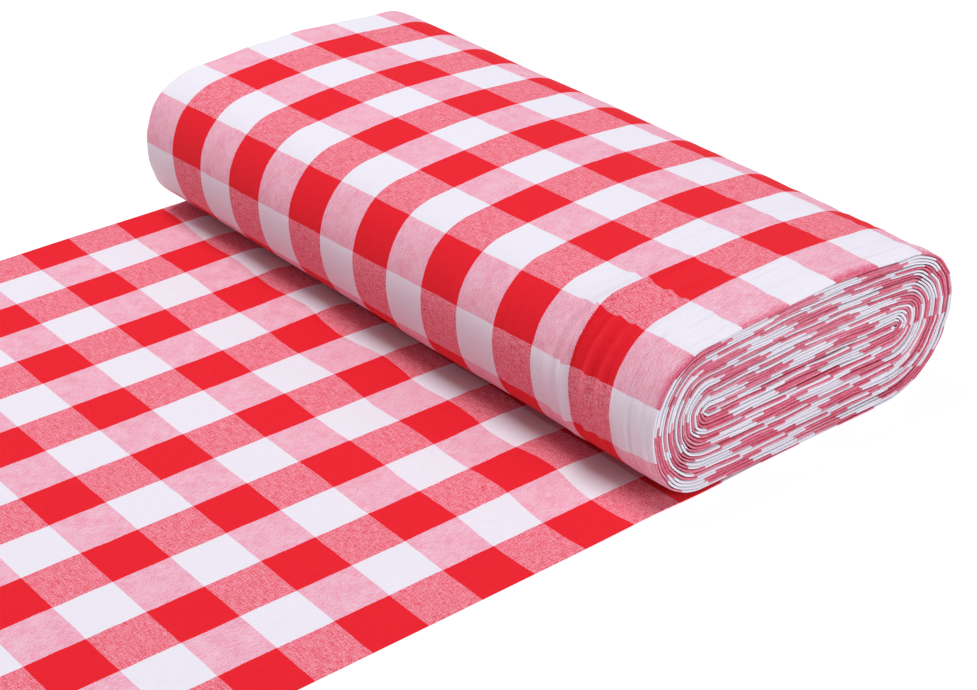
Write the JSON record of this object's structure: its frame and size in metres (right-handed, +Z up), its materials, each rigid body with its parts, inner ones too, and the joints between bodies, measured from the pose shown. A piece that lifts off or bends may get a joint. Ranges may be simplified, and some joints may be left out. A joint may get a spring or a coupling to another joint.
{
  "type": "tablecloth cloth bolt",
  "caption": "Flat-wound bolt of doubled checked cotton tablecloth cloth, partly unrolled on a flat surface, on a thin grey board.",
  "frame": {"origin": "bottom centre of the whole object's box, on the surface it lies on", "axes": "+Z up; +X from the cut end of the laid length towards the bolt; Y along the bolt, with the folded edge of the doubled cloth at -Y and its two selvedges at +Y"},
  "size_m": [0.7354, 0.5622, 0.1195],
  "materials": {
    "gingham_cloth": "plain-weave cotton in red and white checks, matt",
    "grey_board": null
  },
  "bodies": {
    "bolt": {"under_layer": "gingham_cloth", "turn_01": "gingham_cloth", "turn_02": "gingham_cloth", "turn_03": "gingham_cloth", "turn_04": "gingham_cloth", "turn_05": "gingham_cloth", "turn_06": "gingham_cloth", "turn_07": "gingham_cloth", "turn_08": "gingham_cloth", "turn_09": "gingham_cloth", "turn_10": "gingham_cloth", "turn_11": "gingham_cloth", "turn_12": "gingham_cloth"},
    "laid": {"laid_length": "gingham_cloth"},
    "core": {"core_board": "grey_board"}
  },
  "joints": [
    {"name": "laid_lift", "type": "hinge", "parent": "bolt", "child": "laid", "pos_m": [0.09979, 0, 0.00055], "axis": [-0.034, 0.9994, 0], "range_deg": [0, 45]},
    {"name": "board_slide", "type": "slide", "parent": "bolt", "child": "core", "axis": [0.034, -0.9994, 0], "range_m": [0, 0.53]}
  ]
}
